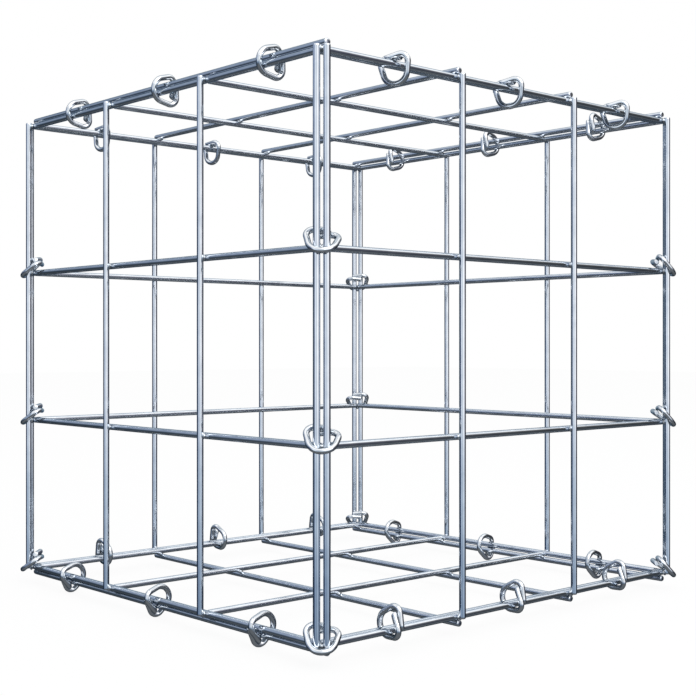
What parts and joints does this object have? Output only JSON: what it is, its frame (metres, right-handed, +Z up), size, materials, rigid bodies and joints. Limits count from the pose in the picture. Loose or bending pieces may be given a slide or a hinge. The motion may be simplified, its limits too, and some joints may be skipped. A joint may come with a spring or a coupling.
{
  "type": "gabion basket",
  "caption": "Cube-shaped empty gabion basket of welded galvanised wire mesh panels, laced along its edges with closed wire C-rings; it holds stone for garden walls.",
  "frame": {"origin": "on the ground under the middle of the basket", "axes": "+Z up, the front panel faces -Y, +X to the right seen from the front"},
  "size_m": [0.3186, 0.3186, 0.3232],
  "materials": {
    "mesh_wire": "bright zinc coating, smooth drawn wire",
    "ring_wire": "bright zinc coating, bent wire"
  },
  "bodies": {
    "root": {"front_panel": "mesh_wire", "back_panel": "mesh_wire", "left_panel": "mesh_wire", "right_panel": "mesh_wire", "bottom_panel": "mesh_wire", "lid_panel": "mesh_wire", "ring_top_front_1": "ring_wire", "ring_top_front_2": "ring_wire", "ring_top_front_3": "ring_wire", "ring_top_right_1": "ring_wire", "ring_top_right_2": "ring_wire", "ring_top_right_3": "ring_wire", "ring_top_back_1": "ring_wire", "ring_top_back_2": "ring_wire", "ring_top_back_3": "ring_wire", "ring_top_left_1": "ring_wire", "ring_top_left_2": "ring_wire", "ring_top_left_3": "ring_wire", "ring_bottom_front_1": "ring_wire", "ring_bottom_front_2": "ring_wire", "ring_bottom_front_3": "ring_wire", "ring_bottom_right_1": "ring_wire", "ring_bottom_right_2": "ring_wire", "ring_bottom_right_3": "ring_wire", "ring_bottom_back_1": "ring_wire", "ring_bottom_back_2": "ring_wire", "ring_bottom_back_3": "ring_wire", "ring_bottom_left_1": "ring_wire", "ring_bottom_left_2": "ring_wire", "ring_bottom_left_3": "ring_wire", "ring_front_left_1": "ring_wire", "ring_front_left_2": "ring_wire", "ring_front_left_3": "ring_wire", "ring_front_right_1": "ring_wire", "ring_front_right_2": "ring_wire", "ring_front_right_3": "ring_wire", "ring_back_right_1": "ring_wire", "ring_back_right_2": "ring_wire", "ring_back_right_3": "ring_wire", "ring_back_left_1": "ring_wire", "ring_back_left_2": "ring_wire", "ring_back_left_3": "ring_wire"}
  },
  "joints": []
}
